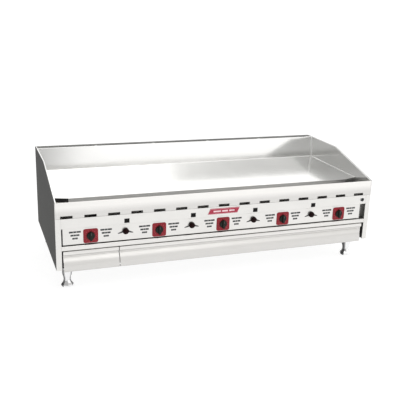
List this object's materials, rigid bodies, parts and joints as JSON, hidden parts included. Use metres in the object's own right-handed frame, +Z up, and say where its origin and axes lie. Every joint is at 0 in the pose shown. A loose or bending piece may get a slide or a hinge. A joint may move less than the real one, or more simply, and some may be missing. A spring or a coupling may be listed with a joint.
{
  "type": "gas griddle",
  "caption": "Wide counter-top gas griddle with a flat polished plate, splash guards, a front grease trough, thermostat knobs, a pull-out grease drawer and screw-adjustable legs.",
  "frame": {"origin": "on the floor plane under the middle of the outer box, at the underside of the feet", "axes": "+X to the operator's right along the long front, +Y from the front to the rear, +Z up"},
  "size_m": [1.54, 0.718, 0.494],
  "materials": {
    "front_steel": "bright brushed stainless sheet",
    "side_steel": "stainless sheet, fine grain, seen dark",
    "inner_steel": "dull stainless and aluminised sheet",
    "plate_steel": "polished steel cooking plate, mirror-like",
    "splash_steel": "polished stainless splash guards",
    "burner_iron": "cast and coated burner tubes",
    "pipe_iron": "black steel gas pipe",
    "valve_body": "die-cast thermostat body",
    "dial_red": "red dial plate",
    "knob_black": "black knob",
    "button_black": "dark domed button",
    "window_dark": "dark viewing window",
    "badge_red": "blank red badge",
    "leg_chrome": "chrome-plated leg"
  },
  "bodies": {
    "cabinet": {"side_panel_left": "side_steel", "side_panel_right": "side_steel", "front_rail": "front_steel", "upper_fascia": "front_steel", "control_panel": "front_steel", "mid_rail": "front_steel", "lower_front_panel": "front_steel", "rear_panel": "inner_steel", "base_pan": "inner_steel", "flue_grille": "inner_steel", "grease_trough": "inner_steel", "drain_chute": "inner_steel", "drawer_runner_left": "inner_steel", "drawer_runner_right": "inner_steel", "heat_shield": "inner_steel", "griddle_plate": "plate_steel", "back_splash": "splash_steel", "splash_guard_left": "splash_steel", "splash_guard_right": "splash_steel", "burner_1": "burner_iron", "thermostat_1": "valve_body", "dial_plate_1": "dial_red", "burner_2": "burner_iron", "thermostat_2": "valve_body", "dial_plate_2": "dial_red", "burner_3": "burner_iron", "thermostat_3": "valve_body", "dial_plate_3": "dial_red", "burner_4": "burner_iron", "thermostat_4": "valve_body", "dial_plate_4": "dial_red", "burner_5": "burner_iron", "thermostat_5": "valve_body", "dial_plate_5": "dial_red", "gas_manifold": "pipe_iron", "viewing_window_1": "window_dark", "viewing_window_2": "window_dark", "viewing_window_3": "window_dark", "viewing_window_4": "window_dark", "badge_plate": "badge_red", "leg_front_left": "leg_chrome", "leg_front_right": "leg_chrome", "leg_rear_left": "leg_chrome", "leg_rear_right": "leg_chrome"},
    "thermostat_knob_1": {"thermostat_knob_1": "knob_black"},
    "thermostat_knob_2": {"thermostat_knob_2": "knob_black"},
    "thermostat_knob_3": {"thermostat_knob_3": "knob_black"},
    "thermostat_knob_4": {"thermostat_knob_4": "knob_black"},
    "thermostat_knob_5": {"thermostat_knob_5": "knob_black"},
    "igniter_button_1": {"igniter_button_1": "button_black"},
    "igniter_button_2": {"igniter_button_2": "button_black"},
    "igniter_button_3": {"igniter_button_3": "button_black"},
    "igniter_button_4": {"igniter_button_4": "button_black"},
    "reset_button": {"reset_button": "button_black"},
    "drawer": {"drawer_front": "front_steel", "drawer_tray": "inner_steel"},
    "foot_front_left": {"foot_front_left": "leg_chrome"},
    "foot_front_right": {"foot_front_right": "leg_chrome"},
    "foot_rear_left": {"foot_rear_left": "leg_chrome"},
    "foot_rear_right": {"foot_rear_right": "leg_chrome"}
  },
  "joints": [
    {"name": "thermostat_knob_1_turn", "type": "hinge", "parent": "cabinet", "child": "thermostat_knob_1", "pos_m": [-0.6206, -0.346, 0.246], "axis": [0, 1, 0], "range_deg": [0, 270]},
    {"name": "thermostat_knob_2_turn", "type": "hinge", "parent": "cabinet", "child": "thermostat_knob_2", "pos_m": [-0.3158, -0.346, 0.246], "axis": [0, 1, 0], "range_deg": [0, 270]},
    {"name": "thermostat_knob_3_turn", "type": "hinge", "parent": "cabinet", "child": "thermostat_knob_3", "pos_m": [-0.011, -0.346, 0.246], "axis": [0, 1, 0], "range_deg": [0, 270]},
    {"name": "thermostat_knob_4_turn", "type": "hinge", "parent": "cabinet", "child": "thermostat_knob_4", "pos_m": [0.2938, -0.346, 0.246], "axis": [0, 1, 0], "range_deg": [0, 270]},
    {"name": "thermostat_knob_5_turn", "type": "hinge", "parent": "cabinet", "child": "thermostat_knob_5", "pos_m": [0.5986, -0.346, 0.246], "axis": [0, 1, 0], "range_deg": [0, 270]},
    {"name": "igniter_button_1_press", "type": "slide", "parent": "cabinet", "child": "igniter_button_1", "axis": [0, 1, 0], "range_m": [0, 0.0035], "stiffness_N_per_m": 800, "springref_m": -0.002},
    {"name": "igniter_button_2_press", "type": "slide", "parent": "cabinet", "child": "igniter_button_2", "axis": [0, 1, 0], "range_m": [0, 0.0035], "stiffness_N_per_m": 800, "springref_m": -0.002},
    {"name": "igniter_button_3_press", "type": "slide", "parent": "cabinet", "child": "igniter_button_3", "axis": [0, 1, 0], "range_m": [0, 0.0035], "stiffness_N_per_m": 800, "springref_m": -0.002},
    {"name": "igniter_button_4_press", "type": "slide", "parent": "cabinet", "child": "igniter_button_4", "axis": [0, 1, 0], "range_m": [0, 0.0035], "stiffness_N_per_m": 800, "springref_m": -0.002},
    {"name": "reset_button_press", "type": "slide", "parent": "cabinet", "child": "reset_button", "axis": [0, 1, 0], "range_m": [0, 0.003], "stiffness_N_per_m": 800, "springref_m": -0.002},
    {"name": "drawer_pull", "type": "slide", "parent": "cabinet", "child": "drawer", "axis": [0, -1, 0], "range_m": [0, 0.4]},
    {"name": "foot_front_left_adjust", "type": "slide", "parent": "cabinet", "child": "foot_front_left", "axis": [0, 0, -1], "range_m": [0, 0.025]},
    {"name": "foot_front_right_adjust", "type": "slide", "parent": "cabinet", "child": "foot_front_right", "axis": [0, 0, -1], "range_m": [0, 0.025]},
    {"name": "foot_rear_left_adjust", "type": "slide", "parent": "cabinet", "child": "foot_rear_left", "axis": [0, 0, -1], "range_m": [0, 0.025]},
    {"name": "foot_rear_right_adjust", "type": "slide", "parent": "cabinet", "child": "foot_rear_right", "axis": [0, 0, -1], "range_m": [0, 0.025]}
  ]
}
